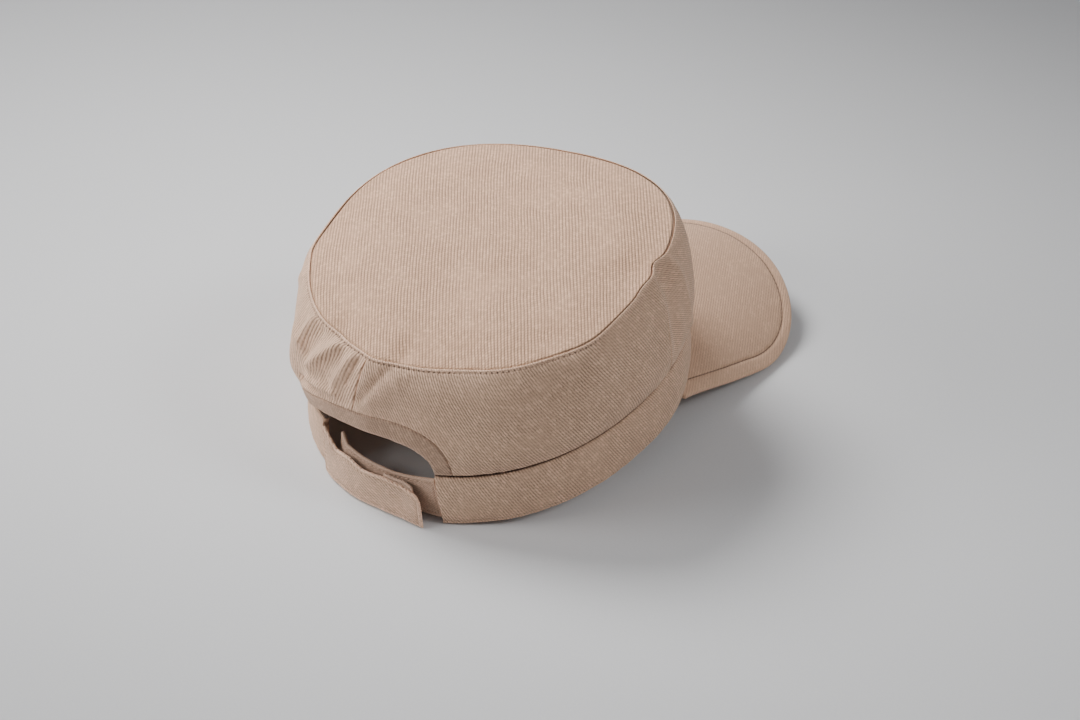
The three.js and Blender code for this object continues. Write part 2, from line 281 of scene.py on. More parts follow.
# Lights: bearing from the camera's, height, distance and power, and how far aside of the
# camera's target, towards the key light, each one aims
LIGHTS = [
    {"name": "key_light", "kind": "SPOT", "turn": -134, "rise": 47, "distance": 1.0,
     "power": 110, "aside": 0.08,
     "settings": {"shadow_soft_size": 0.36, "spot_size": math.radians(41), "spot_blend": 0.85}},
    {"name": "fill_light", "kind": "SPOT", "turn": 74, "rise": 40, "distance": 1.6,
     "power": 112, "aside": 0,
     "settings": {"shadow_soft_size": 0.5, "spot_size": math.radians(27), "spot_blend": 0.95}},
    {"name": "side_light", "kind": "AREA", "turn": -82, "rise": 24, "distance": 1.5,
     "power": 14, "aside": 0, "settings": {"shape": "DISK", "size": 0.8}},
]

# Middle of the head in the frame
band_low, band_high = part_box("headband")
HEAD_X = (band_low.x + band_high.x) / 2 / MM
HEAD_Y = band_low.y / MM + BAND_HALF_LENGTH + BAND_FRONT_REACH


# Small helpers
def mix(a, b, share):
    return a + (b - a) * share


def cosine(angle):
    return np.cos(np.radians(angle))


def sine(angle):
    return np.sin(np.radians(angle))


def bump(distance, width):
    return np.exp(-((distance / width) ** 2))


def ramp(value, low, high):
    share = np.clip((value - low) / (high - low), 0, 1)
    return share * share * (3 - 2 * share)


def soft_noise(u, v, seed):
    """Smooth heights from -1 to 1 with about one bump for each unit of u and v."""
    grid = np.random.default_rng(seed).uniform(-1, 1, (NOISE_CELLS, NOISE_CELLS))
    low_u = np.floor(u).astype(int)
    low_v = np.floor(v).astype(int)
    share_u = ramp(u - low_u, 0, 1)
    share_v = ramp(v - low_v, 0, 1)

    def corner(i, j):
        return grid[(low_u + i) % NOISE_CELLS, (low_v + j) % NOISE_CELLS]

    near = mix(corner(0, 0), corner(1, 0), share_u)
    far = mix(corner(0, 1), corner(1, 1), share_u)
    return mix(near, far, share_v)


def close_steps(length, step):
    """Places from 0 to length, closer together at both ends."""
    ends = np.array([0, 0.06, 0.2, 0.45, 0.8, 1.2, 1.6, 2.0, 2.4, 3.0, 3.8])
    reach = ends[-1]
    count = max(2, int(round((length - 2 * reach) / step)))
    middle = np.linspace(reach, length - reach, count + 1)[1:-1]
    return np.concatenate([ends, middle, length - ends[::-1]])


def polar(angle, radius, z):
    return np.stack([-radius * sine(angle), radius * cosine(angle), z + 0 * radius], -1)


def outward(angle):
    return np.stack([-sine(angle), cosine(angle), 0 * angle], -1)


# Shapes of the cap, as in the part's source
def front_share(angle):
    return (1 - cosine(angle)) / 2


def oval(angle, half_width, half_length, squareness):
    side = np.abs(sine(angle) / half_width) ** squareness
    back = np.abs(cosine(angle) / half_length) ** squareness
    return (side + back) ** (-1 / squareness)


def band_radius(angle):
    return oval(angle, BAND_HALF_WIDTH, BAND_HALF_LENGTH, BAND_SQUARENESS)


def band_low_edge(angle):
    raised = (front_share(angle) - FLAT_REST_SHARE) / (1 - FLAT_REST_SHARE)
    return FRONT_LIFT * np.maximum(0, raised)


def band_top_edge(angle):
    height = mix(BAND_HEIGHT_BACK, BAND_HEIGHT_FRONT, front_share(angle))
    return band_low_edge(angle) + height


def top_radius(angle):
    return oval(angle + TOP_TURN, TOP_HALF_WIDTH, TOP_HALF_LENGTH, TOP_SQUARENESS)


def top_height(angle, share):
    tilt = -TOP_TILT * share * cosine(angle - TOP_TILT_TOWARDS)
    twist = -TOP_TWIST * share**2 * cosine(2 * (angle + TOP_TURN))
    return TOP_HEIGHT + tilt + twist + TOP_DOME * (1 - share**2)


def signed_turn(angle):
    return np.where(angle > 180, angle - 360, angle)


def seam_wave(angle):
    """How far the top seam waves out, and in at one front seam."""
    turn = signed_turn(angle)
    out = -SEAM_DENT_DEPTH * bump(turn - SEAM_DENT_ANGLE, SEAM_DENT_WIDTH)
    for wave in SEAM_WAVES:
        out = out + wave["out"] * bump(turn - wave["angle"], wave["width"])
    return out


def top_point(angle, share, inset, drop):
    radius = (top_radius(angle) - inset + seam_wave(angle) * share**6) * share
    point = polar(angle, radius, top_height(angle, share) - drop)
    point[..., 0] += TOP_SHIFT_X
    return point


def wall_height(angle):
    return top_height(angle, 1) - band_top_edge(angle) - SEAM_GAP


def wall_face(angle, share):
    """Outer face of the side wall before its folds."""
    low = polar(angle, band_radius(angle) - BAND_TAPER, band_top_edge(angle) + SEAM_GAP)
    high = top_point(angle, np.ones_like(share), 0, 0)
    swell = WALL_SWELL * (1 - np.abs(2 * share - 1) ** WALL_FULLNESS)
    point = low + (high - low) * share[..., None]
    flat = np.hypot(point[..., 0], point[..., 1])
    point[..., :2] *= (1 + swell / flat)[..., None]
    return point


def arch_lean(along):
    return 1 + np.where(along < 0, ARCH_LEFT_LEAN, ARCH_LEAN) * along


def arch_rise(angle, half_angle, height):
    stretch = np.where(angle < ARCH_MIDDLE, ARCH_LEFT_STRETCH, 1)
    along = np.clip((angle - ARCH_MIDDLE) / (half_angle * stretch), -1, 1)
    rise = (1 - np.abs(along) ** ARCH_ROUNDNESS) ** (1 / ARCH_ROUNDNESS)
    return height * arch_lean(along) * rise


DEGREES_PER_MM = 1 / (math.radians(1) * BAND_HALF_LENGTH)
FACING_HALF_ANGLE = ARCH_HALF_ANGLE + FACING_WIDTH * DEGREES_PER_MM
FACING_HEIGHT = ARCH_HEIGHT + FACING_WIDTH


def fold_relief(angle, height):
    """How far the folds move the side wall out, in millimetres."""
    out = np.zeros_like(angle)
    for fold in FOLDS:
        run = (fold["to_angle"] - fold["from_angle"]) / DEGREES_PER_MM
        rise = fold["to_height"] - fold["from_height"]
        across = (angle - fold["from_angle"]) / DEGREES_PER_MM
        up = height - fold["from_height"]
        along = (across * run + up * rise) / (run * run + rise * rise)
        along = np.clip(along, 0, 1)
        apart = np.hypot(across - run * along, up - rise * along)
        out += fold["depth"] * bump(apart, fold["width"])
    return out


def rib_lines(run, rise, rib_angle, edge):
    """Distances across and along ribs at an angle to the run of the cloth, and from an edge."""
    across = cosine(rib_angle) * rise - sine(rib_angle) * run
    along = cosine(rib_angle) * run + sine(rib_angle) * rise
    return np.stack([across, along, edge], -1)


# Meshes
def grid_normals(points, towards):
    """Unit normals of a grid of points, on the side that faces towards."""
    across = np.gradient(points, axis=0)
    up = np.gradient(points, axis=1)
    normals = np.cross(across, up)
    normals /= np.linalg.norm(normals, axis=-1, keepdims=True) + 1e-12
    if np.sum(normals * towards) < 0:
        normals = -normals
    return normals


def add_mesh(name, points, faces, material, facts):
    """A smooth mesh in the frame, from points in head coordinates."""
    moved = (np.asarray(points) + np.array([HEAD_X, HEAD_Y, 0])) * MM
    mesh = bpy.data.meshes.new(name)
    mesh.from_pydata(moved.tolist(), [], faces)
    for fact, values in facts.items():
        layer = mesh.attributes.new(fact, "FLOAT_VECTOR", "POINT")
        layer.data.foreach_set("vector", np.asarray(values, np.float32).ravel())
    mesh.polygons.foreach_set("use_smooth", [True] * len(mesh.polygons))
    mesh.materials.append(material)
    mesh.update()
    piece = bpy.data.objects.new(name, mesh)
    bpy.context.scene.collection.objects.link(piece)
    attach(piece, "root")
    return piece


def shell(name, face, towards, thickness, edge, edge_radius, relief, cloth, sewing, material,
          wraps=False):
    """A sheet of cloth with rounded free edges.

    face is its outer face, edge each point's distance from the nearest free edge and
    relief how far the cloth stands out there, on a grid of points. cloth and sewing are what
    the material reads: distances across and along the ribs and from an edge, and the run
    along a seam, the distance from it and its strength."""
    facts = {"cloth": cloth, "sewing": sewing}
    normals = grid_normals(face, towards)
    bulk = np.broadcast_to(thickness, edge.shape)
    inside = 1 - np.clip(edge / edge_radius, 0, 1)
    half = bulk / 2 * np.sqrt(np.clip(1 - inside**2, 0, 1))
    middle = face + normals * (relief - bulk / 2)[..., None]
    outer = middle + normals * half[..., None]
    inner = middle - normals * half[..., None]
    count, rows = edge.shape
    numbers = np.arange(count * rows).reshape(count, rows)
    back = numbers + count * rows
    joined = edge <= 0
    back = np.where(joined, numbers, back)
    columns = np.arange(count if wraps else count - 1)
    following = (columns + 1) % count
    faces = []
    for i, k in zip(columns, following):
        front_side = np.stack(
            [numbers[i, :-1], numbers[k, :-1], numbers[k, 1:], numbers[i, 1:]], -1
        )
        back_side = np.stack([back[i, 1:], back[k, 1:], back[k, :-1], back[i, :-1]], -1)
        faces.append(front_side)
        faces.append(back_side)
    faces = np.concatenate(faces)
    volume_turn = np.cross(outer[1, 1] - outer[0, 1], outer[0, 2] - outer[0, 1])
    if np.dot(volume_turn, normals[0, 1]) < 0:
        faces = faces[:, ::-1]
    points = np.concatenate([outer.reshape(-1, 3), inner.reshape(-1, 3)])
    used = np.unique(faces)
    renumber = np.zeros(len(points), int)
    renumber[used] = np.arange(len(used))
    both = {key: np.tile(value.reshape(-1, 3), (2, 1))[used] for key, value in facts.items()}
    piece = add_mesh(name, points[used], renumber[faces].tolist(), material, both)
    return piece, outer, grid_normals(outer, towards)


def line_on(points, normals, column, row):
    """Places and normals where fractional columns and rows cross a grid."""
    column = np.clip(np.asarray(column, float), 0, points.shape[0] - 1.001)
    row = np.clip(np.asarray(row, float), 0, points.shape[1] - 1.001)
    i = column.astype(int)
    j = row.astype(int)
    share_i = (column - i)[:, None]
    share_j = (row - j)[:, None]
    found = []
    for values in (points, normals):
        near = mix(values[i, j], values[i + 1, j], share_i)
        far = mix(values[i, j + 1], values[i + 1, j + 1], share_i)
        found.append(mix(near, far, share_j))
    return found[0], found[1]


def sewn_line(places, normals, pitch, share, radius, sink):
    """Points and faces of a row of stitches along a line on the cloth."""
    steps = np.linalg.norm(np.diff(places, axis=0), axis=1)
    along = np.concatenate([[0], np.cumsum(steps)])
    count = int(along[-1] / pitch)
    sides = THREAD_SIDES
    rings = np.linspace(-1, 1, THREAD_RINGS)
    points = []
    faces = []
    for k in range(count):
        centre = (k + 0.5) * along[-1] / count
        spots = centre + rings * pitch * share / 2
        line = np.stack([np.interp(spots, along, places[:, c]) for c in range(3)], -1)
        normal = np.array([np.interp(centre, along, normals[:, c]) for c in range(3)])
        normal /= np.linalg.norm(normal)
        forward = line[-1] - line[0]
        forward /= np.linalg.norm(forward)
        aside = np.cross(normal, forward)
        start = len(points)
        for ring, spot in zip(rings, line):
            swell = radius * math.sqrt(max(THREAD_END_SWELL, 1 - ring**4))
            rise = radius * THREAD_RISE * (1 - ring**2) - sink
            for side in range(sides):
                turn = 2 * math.pi * side / sides
                out = math.cos(turn) * aside + math.sin(turn) * normal
                points.append(spot + normal * rise + out * swell)
        for ring in range(len(rings) - 1):
            for side in range(sides):
                a = start + ring * sides + side
                b = start + ring * sides + (side + 1) % sides
                faces.append([a, b, b + sides, a + sides])
        faces.append([start + side for side in reversed(range(sides))])
        last = start + (len(rings) - 1) * sides
        faces.append([last + side for side in range(sides)])
    return points, faces


def stitches(name, lines, material, row):
    """One piece for lines of stitches, each (places, normals), made as a STITCH_ROWS row."""
    points = []
    faces = []
    for places, normals in lines:
        more_points, more_faces = sewn_line(places, normals, **STITCH_ROWS[row])
        first = len(points)
        points += more_points
        faces += [[first + number for number in face] for face in more_faces]
    piece = add_mesh(name, np.array(points), faces, material, {})
    return piece


# Shader nodes
def node(tree, kind, settings=None, inputs=None):
    """A node with its settings and its inputs, each a value or another node's output."""
    made = tree.nodes.new(kind)
    for key, value in (settings or {}).items():
        setattr(made, key, value)
    for key, value in (inputs or {}).items():
        if isinstance(value, bpy.types.NodeSocket):
            tree.links.new(value, made.inputs[key])
        else:
            made.inputs[key].default_value = value
    return made


def calc(tree, operation, a, b=0.0, c=0.0):
    found = node(tree, "ShaderNodeMath", {"operation": operation}, {0: a, 1: b, 2: c})
    return found.outputs[0]


def soft_step(tree, value, low, high):
    settings = {"interpolation_type": "SMOOTHSTEP"}
    inputs = {"Value": value, "From Min": low, "From Max": high}
    return node(tree, "ShaderNodeMapRange", settings, inputs).outputs["Result"]


def blend_colours(tree, share, first, second):
    inputs = {0: share, 6: first, 7: second}
    return node(tree, "ShaderNodeMix", {"data_type": "RGBA"}, inputs).outputs[2]


def tint(tree, colour, mask, strength, tone):
    """The colour, with a tone laid over it by the mask."""
    return blend_colours(tree, calc(tree, "MULTIPLY", mask, strength), colour, (*tone, 1))


def new_material(name):
    material = bpy.data.materials.new(name)
    material.use_nodes = True
    return material, material.node_tree, material.node_tree.nodes["Principled BSDF"]


def new_group(name, inputs, outputs):
    """An empty node group with named inputs and outputs."""
    group = bpy.data.node_groups.new(name, "ShaderNodeTree")
    for label, kind, value in inputs:
        socket = group.interface.new_socket(name=label, in_out="INPUT", socket_type=kind)
        if value is not None:
            socket.default_value = value
    for label, kind in outputs:
        group.interface.new_socket(name=label, in_out="OUTPUT", socket_type=kind)
    return group, node(group, "NodeGroupInput"), node(group, "NodeGroupOutput")


def use_group(tree, group, inputs):
    return node(tree, "ShaderNodeGroup", {"node_tree": group}, inputs)


FLOAT = "NodeSocketFloat"
VECTOR = "NodeSocketVector"


def twill_ribs_group():
    """Raised diagonal ribs broken into short yarn floats."""
    inputs = [
        ("Cloth", VECTOR, None),
        ("Rib Spacing", FLOAT, 1.5),
        ("Float Length", FLOAT, 2.0),
        ("Unevenness", FLOAT, 0.5),
        ("Breaks", FLOAT, 0.3),
    ]
    outputs = [("Height", FLOAT), ("Shade", FLOAT), ("Glint", FLOAT)]
    group, given, gives = new_group("twill_ribs", inputs, outputs)
    cloth = given.outputs["Cloth"]
    wander = node(group, "ShaderNodeTexNoise", {}, {"Vector": cloth, "Scale": 0.05, "Detail": 3.0})
    parts = node(group, "ShaderNodeSeparateXYZ", {}, {0: cloth})
    shift = calc(group, "SUBTRACT", wander.outputs["Fac"], 0.5)
    contrast = soft_step(group, wander.outputs["Fac"], 0.25, 0.62)
    contrast = calc(group, "MULTIPLY_ADD", contrast, 0.55, 0.45)
    shift = calc(group, "MULTIPLY", shift, given.outputs["Unevenness"])
    ribs = calc(group, "DIVIDE", parts.outputs["X"], given.outputs["Rib Spacing"])
    ribs = calc(group, "MULTIPLY_ADD", shift, 1.6, ribs)
    number = calc(group, "FLOOR", ribs)
    chance = node(group, "ShaderNodeTexWhiteNoise", {"noise_dimensions": "1D"}, {"W": number})
    floats = calc(group, "DIVIDE", parts.outputs["Y"], given.outputs["Float Length"])
    floats = calc(group, "MULTIPLY_ADD", chance.outputs["Value"], 7.0, floats)
    float_number = calc(group, "FLOOR", floats)
    float_place = calc(group, "FRACT", floats)
    float_crest = calc(group, "SINE", calc(group, "MULTIPLY", float_place, math.pi))
    float_crest = calc(group, "POWER", float_crest, 0.6)
    slant = calc(group, "MULTIPLY", calc(group, "SUBTRACT", float_place, 0.5), 0.2)
    place = calc(group, "SUBTRACT", calc(group, "FRACT", ribs), slant)
    crest = calc(group, "SINE", calc(group, "MULTIPLY", place, math.pi))
    crest = calc(group, "MAXIMUM", crest, 0.0)
    cell = node(group, "ShaderNodeCombineXYZ", {}, {"X": number, "Y": float_number})
    flat = {"noise_dimensions": "2D"}
    pick = node(group, "ShaderNodeTexWhiteNoise", flat, {"Vector": cell.outputs[0]})
    float_end = calc(group, "SUBTRACT", 1.0, float_crest)
    dip = calc(group, "MULTIPLY", float_end, given.outputs["Breaks"])
    height = calc(group, "MULTIPLY", crest, calc(group, "SUBTRACT", 1.0, dip))
    height = calc(group, "MULTIPLY_ADD", calc(group, "SUBTRACT", height, 0.55), contrast, 0.55)
    random = calc(group, "SUBTRACT", pick.outputs["Value"], 0.5)
    random = calc(group, "MULTIPLY", random, given.outputs["Unevenness"])
    shade = calc(group, "MULTIPLY_ADD", random, 0.5, height)
    glint = calc(group, "MULTIPLY", soft_step(group, pick.outputs["Value"], 0.75, 0.95), height)
    group.links.new(height, gives.inputs["Height"])
    group.links.new(shade, gives.inputs["Shade"])
    group.links.new(glint, gives.inputs["Glint"])
    return group


def yarn_fuzz_group():
    """Fine fluff and soft blotches of cotton cloth."""
    inputs = [("Place", VECTOR, None), ("Fluff Scale", FLOAT, 3.5), ("Blotch Scale", FLOAT, 0.06)]
    outputs = [("Fluff", FLOAT), ("Blotch", FLOAT)]
    group, given, gives = new_group("yarn_fuzz", inputs, outputs)
    place = given.outputs["Place"]
    fine = {"Vector": place, "Scale": given.outputs["Fluff Scale"], "Detail": 3.0}
    wide = {"Vector": place, "Scale": given.outputs["Blotch Scale"], "Detail": 4.0}
    fluff = node(group, "ShaderNodeTexNoise", {}, fine)
    blotch = node(group, "ShaderNodeTexNoise", {}, wide)
    group.links.new(fluff.outputs["Fac"], gives.inputs["Fluff"])
    group.links.new(soft_step(group, blotch.outputs["Fac"], 0.3, 0.7), gives.inputs["Blotch"])
    return group


def lint_group():
    """Sparse light specks of lint and slubs."""
    inputs = [("Place", VECTOR, None), ("Scale", FLOAT, 0.35), ("Size", FLOAT, 0.12)]
    group, given, gives = new_group("lint_specks", inputs, [("Speck", FLOAT)])
    settings = {"Vector": given.outputs["Place"], "Scale": given.outputs["Scale"]}
    cells = node(group, "ShaderNodeTexVoronoi", {}, settings)
    near = calc(group, "LESS_THAN", cells.outputs["Distance"], given.outputs["Size"])
    tone = node(group, "ShaderNodeSeparateColor", {}, {0: cells.outputs["Color"]})
    some = calc(group, "GREATER_THAN", tone.outputs[0], 0.55)
    group.links.new(calc(group, "MULTIPLY", near, some), gives.inputs["Speck"])
    return group


def needle_holes_group():
    """A sewn line: dark holes in a row where the thread goes down, and the shaded groove."""
    inputs = [("Sewing", VECTOR, None), ("Pitch", FLOAT, 2.3), ("Radius", FLOAT, 0.5)]
    outputs = [("Hole", FLOAT), ("Groove", FLOAT)]
    group, given, gives = new_group("needle_holes", inputs, outputs)
    parts = node(group, "ShaderNodeSeparateXYZ", {}, {0: given.outputs["Sewing"]})
    cell = calc(group, "DIVIDE", parts.outputs["X"], given.outputs["Pitch"])
    cell = calc(group, "SUBTRACT", calc(group, "FRACT", cell), 0.5)
    along = calc(group, "MULTIPLY", cell, given.outputs["Pitch"])
    along = calc(group, "MULTIPLY", along, along)
    away = calc(group, "MULTIPLY", parts.outputs["Y"], parts.outputs["Y"])
    distance = calc(group, "SQRT", calc(group, "ADD", along, away))
    edge = calc(group, "MULTIPLY", given.outputs["Radius"], 0.3)
    hole = soft_step(group, distance, given.outputs["Radius"], edge)
    group.links.new(calc(group, "MULTIPLY", hole, parts.outputs["Z"]), gives.inputs["Hole"])
    beside = calc(group, "ABSOLUTE", parts.outputs["Y"])
    groove = soft_step(group, beside, given.outputs["Radius"], 0.0)
    group.links.new(calc(group, "MULTIPLY", groove, parts.outputs["Z"]), gives.inputs["Groove"])
    return group


def edge_wear_group():
    """Paler cloth along the folded edges, where it rubs."""
    inputs = [("Edge Distance", FLOAT, 5.0), ("Width", FLOAT, 2.2), ("Fluff", FLOAT, 0.5)]
    group, given, gives = new_group("edge_wear", inputs, [("Wear", FLOAT)])
    near = soft_step(group, given.outputs["Edge Distance"], given.outputs["Width"], 0.0)
    broken = soft_step(group, given.outputs["Fluff"], 0.35, 0.6)
    group.links.new(calc(group, "MULTIPLY", near, broken), gives.inputs["Wear"])
    return group


twill_ribs = twill_ribs_group()
yarn_fuzz = yarn_fuzz_group()
lint_specks = lint_group()
needle_holes = needle_holes_group()
edge_wear = edge_wear_group()


# Shares of the cloth's lighter and darker tones
PALER = 1.3
DARKER = 0.25
GLINT_STRENGTH = 0.3
BLOTCH_STRENGTH = 0.1
HOLE_STRENGTH = 0.62
HOLE_DEPTH = -2.0


def cloth_material(name, crest, valley, spacing, float_length, rib_depth, uneven=0.5,
                   fluff=0.25, lint=0.12, holes=1.0, groove=0.25, pitch=STITCH_PITCH,
                   radius=0.6, rim=0.0, breaks=0.22, wear=0.4):
    """Ribbed cotton cloth. Lengths are in millimetres."""
    material, tree, shader = new_material(name)
    cloth = node(tree, "ShaderNodeAttribute", {"attribute_name": "cloth"}).outputs["Vector"]
    sewing = node(tree, "ShaderNodeAttribute", {"attribute_name": "sewing"}).outputs["Vector"]
    ribs = use_group(tree, twill_ribs, {
        "Cloth": cloth,
        "Rib Spacing": spacing,
        "Float Length": float_length,
        "Unevenness": uneven,
        "Breaks": breaks,
    })
    fuzz = use_group(tree, yarn_fuzz, {"Place": cloth})
    speck = use_group(tree, lint_specks, {"Place": cloth})
    hole = use_group(tree, needle_holes, {"Sewing": sewing, "Pitch": pitch, "Radius": radius})
    edge = node(tree, "ShaderNodeSeparateXYZ", {}, {0: cloth}).outputs["Z"]
    rubbed = use_group(tree, edge_wear, {"Edge Distance": edge, "Fluff": fuzz.outputs["Fluff"]})
    pale = tuple(min(1, part * PALER) for part in crest)
    dark = tuple(part * DARKER for part in valley)
    colour = blend_colours(tree, ribs.outputs["Shade"], (*valley, 1), (*crest, 1))
    colour = tint(tree, colour, ribs.outputs["Glint"], GLINT_STRENGTH, pale)
    colour = tint(tree, colour, fuzz.outputs["Blotch"], BLOTCH_STRENGTH, valley)
    colour = tint(tree, colour, rubbed.outputs["Wear"], wear, pale)
    colour = tint(tree, colour, speck.outputs["Speck"], lint, pale)
    pierced = calc(tree, "MULTIPLY", hole.outputs["Hole"], holes * HOLE_STRENGTH)
    colour = blend_colours(tree, pierced, colour, (*dark, 1))
    colour = tint(tree, colour, hole.outputs["Groove"], groove, dark)
    beyond = node(tree, "ShaderNodeSeparateXYZ", {}, {0: sewing}).outputs["Y"]
    colour = tint(tree, colour, soft_step(tree, beyond, -0.5, -1.1), rim, pale)
    tree.links.new(colour, shader.inputs["Base Color"])
    height = calc(tree, "MULTIPLY", ribs.outputs["Height"], 1 - fluff)
    height = calc(tree, "MULTIPLY_ADD", fuzz.outputs["Fluff"], fluff, height)
    height = calc(tree, "MULTIPLY_ADD", pierced, HOLE_DEPTH, height)
    inputs = {"Strength": 1.0, "Distance": rib_depth * MM, "Height": height}
    relief = node(tree, "ShaderNodeBump", {}, inputs)
    tree.links.new(relief.outputs["Normal"], shader.inputs["Normal"])
    rough = calc(tree, "MULTIPLY_ADD", fuzz.outputs["Fluff"], 0.1, 0.85)
    tree.links.new(rough, shader.inputs["Roughness"])
    shader.inputs["Specular IOR Level"].default_value = 0.2
    shader.inputs["Sheen Weight"].default_value = 0.12
    shader.inputs["Sheen Roughness"].default_value = 0.5
    return material


def thread_material(name, colour):
    """Twisted sewing thread."""
    material, tree, shader = new_material(name)
    place = node(tree, "ShaderNodeTexCoord").outputs["Object"]
    inputs = {"Place": place, "Fluff Scale": 2500.0, "Blotch Scale": 60.0}
    fluff = use_group(tree, yarn_fuzz, inputs).outputs["Fluff"]
    pale = tuple(min(1, part * 1.2) for part in colour)
    mixed = blend_colours(tree, fluff, (*colour, 1), (*pale, 1))
    tree.links.new(mixed, shader.inputs["Base Color"])
    inputs = {"Strength": 0.6, "Distance": 0.1 * MM, "Height": fluff}
    relief = node(tree, "ShaderNodeBump", {}, inputs)
    tree.links.new(relief.outputs["Normal"], shader.inputs["Normal"])
    shader.inputs["Roughness"].default_value = 0.8
    shader.inputs["Sheen Weight"].default_value = 0.1
    return material


# Colours are linear
CREST = (0.77, 0.505, 0.35)
VALLEY = (0.35, 0.22, 0.147)
# The facing strip's tones are darker than the wall's cloth: painted shade for the recess it lies
# in below the wall's edge
FACING_SHADED_CREST = (0.5, 0.324, 0.226)
FACING_SHADED_VALLEY = (0.25, 0.16, 0.11)
TAB_CREST = (0.76, 0.50, 0.355)
PEAK_CREST = (0.6, 0.382, 0.257)
PEAK_VALLEY = (0.40, 0.25, 0.165)
BRUSHED = (0.56, 0.37, 0.265)
BRUSHED_VALLEY = (0.36, 0.235, 0.17)
# The top's tones are a little paler and more saturated than the walls': painted light for the
# brightly lit top of the same cloth
TOP_LIT_CREST = (0.83, 0.512, 0.335)
TOP_LIT_VALLEY = (0.37, 0.222, 0.142)
top_cloth = cloth_material(
    "twill_top", TOP_LIT_CREST, TOP_LIT_VALLEY, 1.47, 1.4, 0.45,
    uneven=0.5, holes=0.0, groove=0.75, radius=0.65, breaks=0.6,
)
right_cloth = cloth_material(
    "twill_right", CREST, VALLEY, 1.2, 2.6, 0.5, uneven=0.4, pitch=2.7, wear=0.8,
)
left_cloth = cloth_material(
    "twill_left", CREST, VALLEY, 1.55, 2.6, 0.4, uneven=0.4, pitch=2.7, wear=0.8,
)
front_cloth = cloth_material(
    "twill_front", CREST, VALLEY, 0.9, 2.6, 0.25, uneven=0.35, pitch=2.7,
)
band_cloth = cloth_material("twill_band", CREST, VALLEY, 1.2, 2.4, 0.45, uneven=0.4)
peak_cloth = cloth_material(
    "twill_peak", PEAK_CREST, PEAK_VALLEY, 1.2, 2.4, 0.25,
    uneven=0.35, lint=0.8, holes=0.15, groove=0.95, pitch=2.8, radius=0.55, rim=0.17,
)
tab_cloth = cloth_material(
    "twill_tab", TAB_CREST, VALLEY, 1.3, 1.8, 0.5, uneven=0.4, pitch=2.3, wear=1.0,
)
base_cloth = cloth_material(
    "brushed_loop", BRUSHED, BRUSHED_VALLEY, 0.9, 0.8, 0.35, uneven=1.2, fluff=0.7, wear=0.8,
)
facing_cloth = cloth_material(
    "brushed_facing", FACING_SHADED_CREST, FACING_SHADED_VALLEY, 1.3, 1.4, 0.35,
    uneven=0.7, fluff=0.5, wear=0.7,
)
tape_cloth = cloth_material(
    "hook_tape", BRUSHED, BRUSHED_VALLEY, 0.9, 0.9, 0.5, uneven=0.4, fluff=0.5, wear=1.0,
)
thread = thread_material("sewing_thread", (0.58, 0.39, 0.275))
# The peak's thread is darker than the other thread: painted shade, so the stitched row reads as
# the shaded groove it lies in
peak_thread = thread_material("peak_thread", (0.3, 0.195, 0.135))


# Pieces
def top_panel():
    """Domed top, its edge tucked inside the rolled seam."""
    inside = TOP_MIDDLE_RADIUS - close_steps(2 * TOP_MIDDLE_RADIUS, TOP_STEP)
    rows = inside[inside >= 0][::-1] / TOP_MIDDLE_RADIUS
    rows = np.concatenate([[0.004], rows[rows > 0.02]])
    angle, share = np.meshgrid(np.arange(0, 360, TOP_ANGLE_STEP), rows, indexing="ij")
    face = top_point(angle, share, ROLL_WIDTH, 0)
    x = face[..., 0]
    y = face[..., 1]
    edge = (top_radius(angle) - ROLL_WIDTH) * (1 - share)
    edge[:, -1] = 0
    run = np.radians(angle) * TOP_MIDDLE_RADIUS
    lively = mix(0.35, 1, ramp(cosine(angle + 20), -0.2, 0.6))
    puckers = soft_noise(run / 2.9, edge / 9, 3)
    relief = 0.28 * lively * puckers * np.exp(-edge / 7) * ramp(edge, 0, 3)
    relief += TOP_PILLOW * (1 - bump(edge, 15)) - 0.45 * bump(edge, 1.3)
    relief += 0.5 * soft_noise(x / 34, y / 34, 4)
    relief += 0.12 * soft_noise(x / 11, y / 11, 5)
    for dent in DENTS:
        spot_share = 1 - dent["inside"] / TOP_MIDDLE_RADIUS
        spot = top_point(np.array(float(dent["angle"])), np.array(spot_share), ROLL_WIDTH, 0)
        apart = np.hypot(x - spot[0], y - spot[1])
        relief -= dent["depth"] * bump(apart, dent["width"])
    rib_x = x + 0.8 * soft_noise(x / 30, y / 30, 6)
    across_ribs = rib_x * TOP_RIBS_ACROSS[0] + y * TOP_RIBS_ACROSS[1]
    along_ribs = rib_x * TOP_RIBS_ALONG[0] + y * TOP_RIBS_ALONG[1]
    cloth = np.stack([across_ribs, along_ribs, edge], -1)
    turn = signed_turn(angle)
    shaded = 0.3 + 1.0 * ramp(turn, *TOP_LINE_DARKER_RIGHT)
    shaded += 0.3 * ramp(turn, *TOP_LINE_DARKER_LEFT)
    sewing = np.stack([run, edge - SEAM_LINE_INSIDE, shaded], -1)
    piece, _, _ = shell(
        "crown_top", face, (0, 0, 1), PANEL_THICK, edge, TOP_EDGE_ROUNDING, relief,
        cloth, sewing, top_cloth, wraps=True,
    )
    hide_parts("top_panel")


def back_seam_angle(share):
    return mix(BACK_SEAM_LOW, BACK_SEAM_HIGH, share)


def right_seam_angle(share):
    return FRONT_SEAM - FRONT_SEAM_BOW * np.sin(np.pi * share)


def left_seam_angle(share):
    return 360 - right_seam_angle(share)


